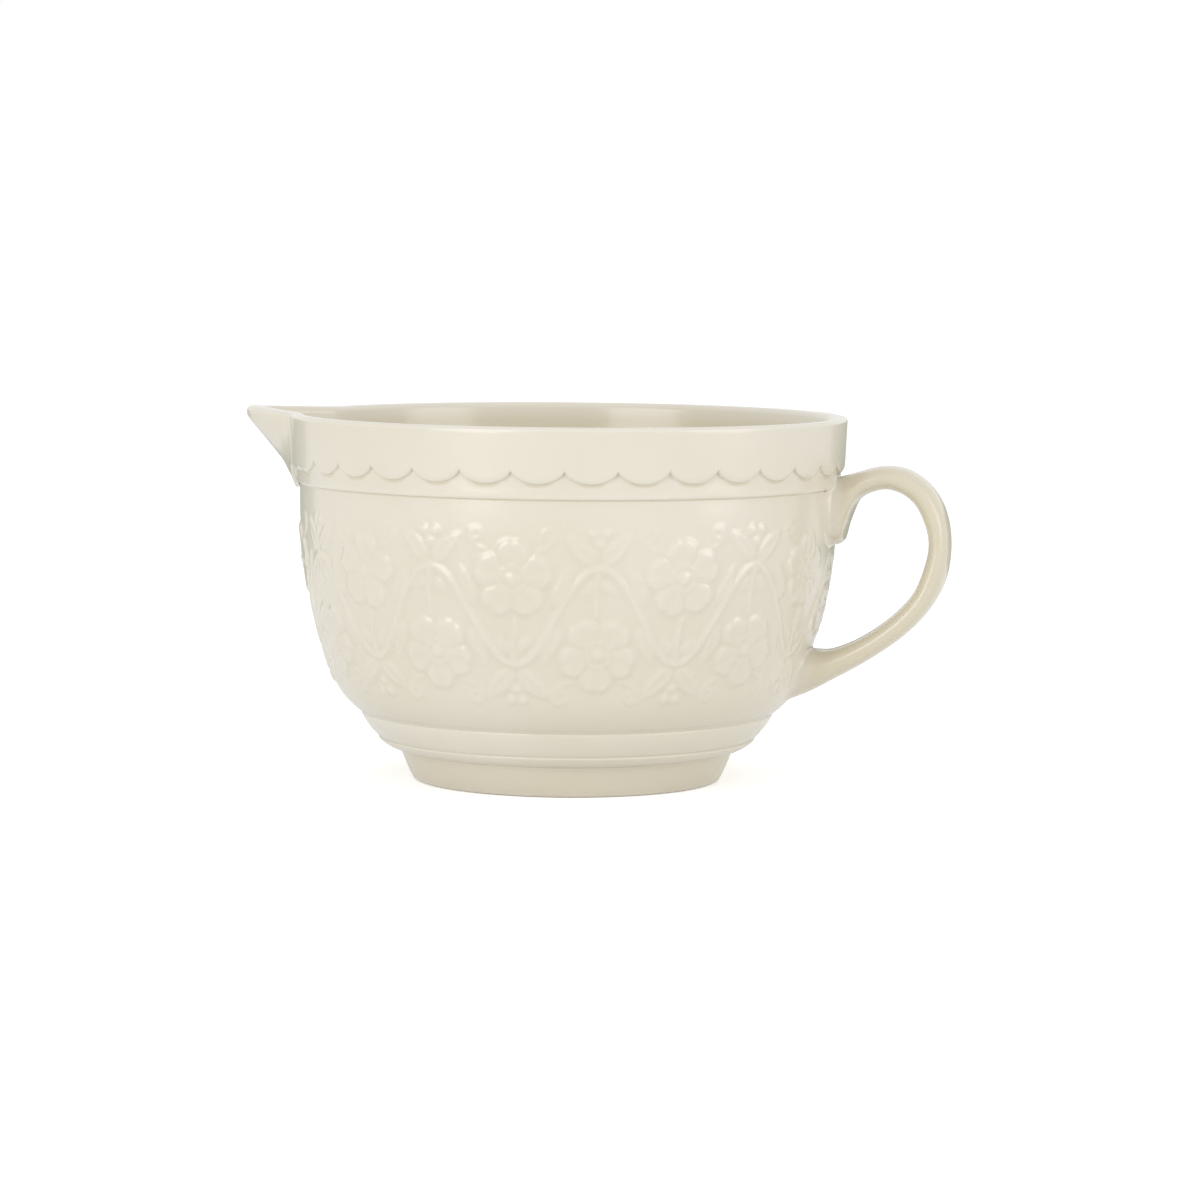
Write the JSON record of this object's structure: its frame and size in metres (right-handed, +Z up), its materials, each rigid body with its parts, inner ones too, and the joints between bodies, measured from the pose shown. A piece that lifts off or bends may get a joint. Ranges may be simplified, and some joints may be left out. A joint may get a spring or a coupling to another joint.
{
  "type": "batter bowl",
  "caption": "Footed stoneware mixing bowl with a pouring spout, a loop handle opposite it, a scalloped collar and a leafy relief round the wall.",
  "frame": {"origin": "centre of the foot ring, in the plane it stands on", "axes": "+Z up along the bowl's axis, +X towards the handle, -X towards the spout"},
  "size_m": [0.2668, 0.2068, 0.1372],
  "materials": {
    "cream_glaze": "glossy cream glaze",
    "foot_glaze": "glossy cream glaze, bare clay where it stands"
  },
  "bodies": {
    "root": {"bowl_wall": "cream_glaze", "rim_collar": "cream_glaze", "collar_band": "cream_glaze", "pouring_spout": "cream_glaze", "loop_handle": "cream_glaze", "vine_stem": "cream_glaze", "blossoms": "cream_glaze", "leaves": "cream_glaze", "berries": "cream_glaze", "upper_step_ring": "foot_glaze", "lower_step_ring": "foot_glaze", "foot_ring": "foot_glaze"}
  },
  "joints": []
}
